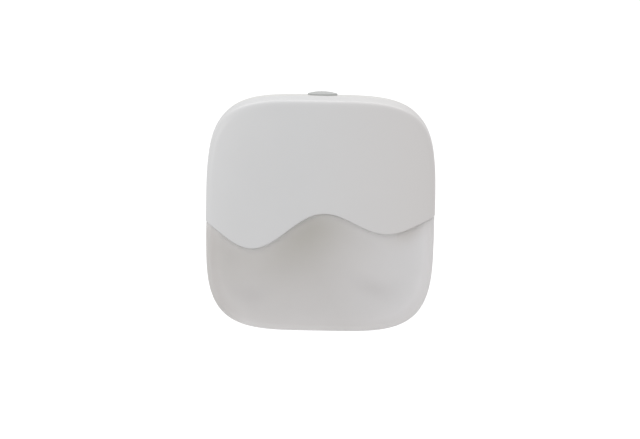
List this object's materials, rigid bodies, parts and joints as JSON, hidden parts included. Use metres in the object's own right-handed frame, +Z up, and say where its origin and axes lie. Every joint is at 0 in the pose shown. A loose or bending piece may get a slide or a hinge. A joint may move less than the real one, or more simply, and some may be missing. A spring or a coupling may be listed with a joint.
{
  "type": "plug-in night light",
  "caption": "Plug-in night light with a squircle body, opaque cover with a wavy lower edge over a frosted diffuser, twilight sensor window on top and a flat plug with round pins.",
  "frame": {"origin": "middle of the plug's engagement face, halfway between the two pin axes", "axes": "+X to the right seen from the front, +Y out of the plug face along the pins into the wall, +Z up; the front looks along -Y"},
  "size_m": [0.06, 0.062, 0.0618],
  "materials": {
    "housing_plastic": "fine moulded satin",
    "frosted_plastic": "frosted translucent",
    "cover_plastic": "satin white",
    "smoked_window": "translucent grey, polished",
    "black_sleeve": "matt",
    "photo_cell": "clear coated",
    "nickel_brass": "nickel plated, bright",
    "pin_insulation": "satin",
    "retainer_plastic": "satin",
    "zinc_steel": "zinc plated",
    "wire_brown": "satin",
    "wire_blue": "satin",
    "board_laminate": "white solder mask",
    "led_package": "white package with a yellow emitter",
    "film_box": "satin",
    "can_sleeve": "dark shrink sleeve",
    "black_epoxy": "matt",
    "resistor_lacquer": "lacquered",
    "resistor_tan": "lacquered",
    "diode_glass": "clear"
  },
  "bodies": {
    "root": {"rear_housing": "housing_plastic", "diffuser": "frosted_plastic", "front_cover": "cover_plastic", "sensor_window": "smoked_window", "sensor_sleeve": "black_sleeve", "photoresistor": "photo_cell", "pin_left": "nickel_brass", "pin_right": "nickel_brass", "pin_sleeve_left": "pin_insulation", "pin_sleeve_right": "pin_insulation", "pin_retainer": "retainer_plastic", "retainer_screw": "zinc_steel", "wire_live": "wire_brown", "wire_neutral": "wire_blue", "circuit_board": "board_laminate", "board_screws": "zinc_steel", "led_1": "led_package", "led_2": "led_package", "led_3": "led_package", "led_4": "led_package", "dropper_capacitor": "film_box", "smoothing_capacitor": "can_sleeve", "bridge_rectifier": "black_epoxy", "inrush_resistor": "resistor_lacquer", "bleed_resistor": "resistor_tan", "switching_transistor": "black_epoxy", "zener_diode": "diode_glass"}
  },
  "joints": []
}
